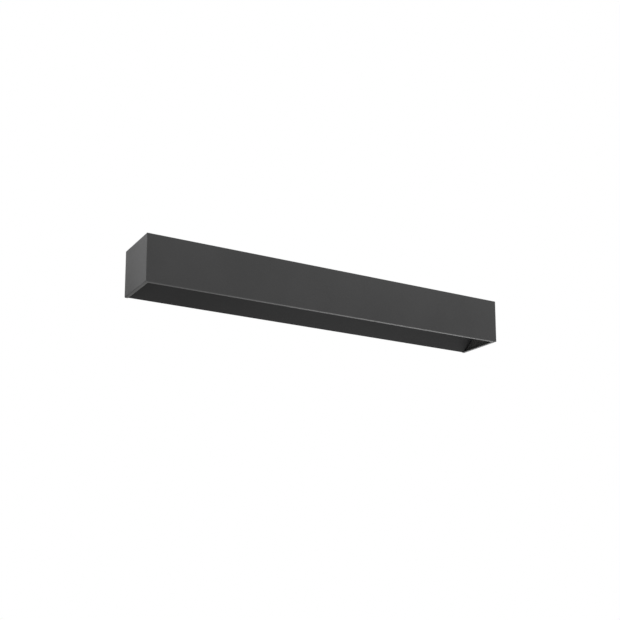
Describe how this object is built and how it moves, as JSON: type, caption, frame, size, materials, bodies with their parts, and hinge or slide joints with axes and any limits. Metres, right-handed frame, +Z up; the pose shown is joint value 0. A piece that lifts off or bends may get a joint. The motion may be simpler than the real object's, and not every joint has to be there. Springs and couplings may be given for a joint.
{
  "type": "vanity light bar",
  "caption": "Wall-mounted rectangular light bar for over a mirror: dark powder-coated sheet-metal housing, open underneath, with a recessed opal lens between sloped baffles.",
  "frame": {"origin": "middle of the wall bracket's back face, on the wall plane, at the middle of the bar's length and height", "axes": "+X along the bar, to the right as seen from the room; +Y into the wall; +Z up"},
  "size_m": [0.6, 0.082, 0.068],
  "materials": {
    "shell_paint": "fine-textured anthracite powder coat",
    "baffle_paint": "matte dark grey powder coat",
    "chassis_paint": "white reflecting paint",
    "zinc_steel": "zinc-plated sheet steel",
    "screw_steel": "bright zinc-plated steel",
    "opal": "opal acrylic, unlit",
    "board_white": "white solder mask on an aluminium board",
    "board_green": "green solder mask on fibreglass",
    "case_plastic": "moulded polycarbonate",
    "terminal_plastic": "moulded polyamide",
    "lever_plastic": "orange moulded polyamide",
    "ferrite": "dark grey ferrite and winding tape",
    "sleeve": "shrink sleeve",
    "rubber": "black moulded rubber",
    "wire_brown": "brown insulation",
    "wire_blue": "blue insulation",
    "wire_green": "green insulation with a yellow stripe",
    "wire_red": "red insulation",
    "wire_black": "black insulation"
  },
  "bodies": {
    "bracket": {"wall_bracket": "zinc_steel"},
    "housing": {"housing_shell": "shell_paint", "hanging_rail": "shell_paint", "chassis": "chassis_paint", "cable_plate": "zinc_steel", "baffle_front": "baffle_paint", "baffle_rear": "baffle_paint", "lens": "opal", "led_board_left": "board_white", "led_board_right": "board_white", "board_bridge": "case_plastic", "driver_case": "case_plastic", "driver_lid": "case_plastic", "driver_board": "board_green", "driver_transformer": "ferrite", "driver_capacitor": "sleeve", "driver_choke": "ferrite", "driver_terminal_in": "terminal_plastic", "driver_terminal_out": "terminal_plastic", "terminal_block": "terminal_plastic", "cable_grommet": "rubber", "wire_grommet": "rubber", "earth_lug": "screw_steel", "earth_screw": "screw_steel", "chassis_nut_1": "screw_steel", "chassis_nut_2": "screw_steel", "chassis_nut_3": "screw_steel", "chassis_nut_4": "screw_steel", "lock_screw_left": "screw_steel", "lock_screw_right": "screw_steel", "baffle_screw_front_1": "screw_steel", "baffle_screw_front_2": "screw_steel", "baffle_screw_front_3": "screw_steel", "baffle_screw_front_4": "screw_steel", "baffle_screw_rear_1": "screw_steel", "baffle_screw_rear_2": "screw_steel", "baffle_screw_rear_3": "screw_steel", "baffle_screw_rear_4": "screw_steel", "plate_screw_1": "screw_steel", "plate_screw_2": "screw_steel", "driver_screw_1": "screw_steel", "driver_screw_2": "screw_steel", "wire_line": "wire_brown", "wire_neutral": "wire_blue", "wire_earth": "wire_green", "wire_led_positive": "wire_red", "wire_led_negative": "wire_black"},
    "lever_line": {"terminal_lever_line": "lever_plastic"},
    "lever_neutral": {"terminal_lever_neutral": "lever_plastic"},
    "lever_earth": {"terminal_lever_earth": "lever_plastic"}
  },
  "joints": [
    {"name": "housing_lift", "type": "slide", "parent": "bracket", "child": "housing", "axis": [0, 0, 1], "range_m": [0, 0.012]},
    {"name": "lever_line_hinge", "type": "hinge", "parent": "housing", "child": "lever_line", "pos_m": [-0.053, -0.0344, 0.0169], "axis": [1, 0, 0], "range_deg": [0, 85]},
    {"name": "lever_neutral_hinge", "type": "hinge", "parent": "housing", "child": "lever_neutral", "pos_m": [-0.042, -0.0344, 0.0169], "axis": [1, 0, 0], "range_deg": [0, 85]},
    {"name": "lever_earth_hinge", "type": "hinge", "parent": "housing", "child": "lever_earth", "pos_m": [-0.031, -0.0344, 0.0169], "axis": [1, 0, 0], "range_deg": [0, 85]}
  ]
}
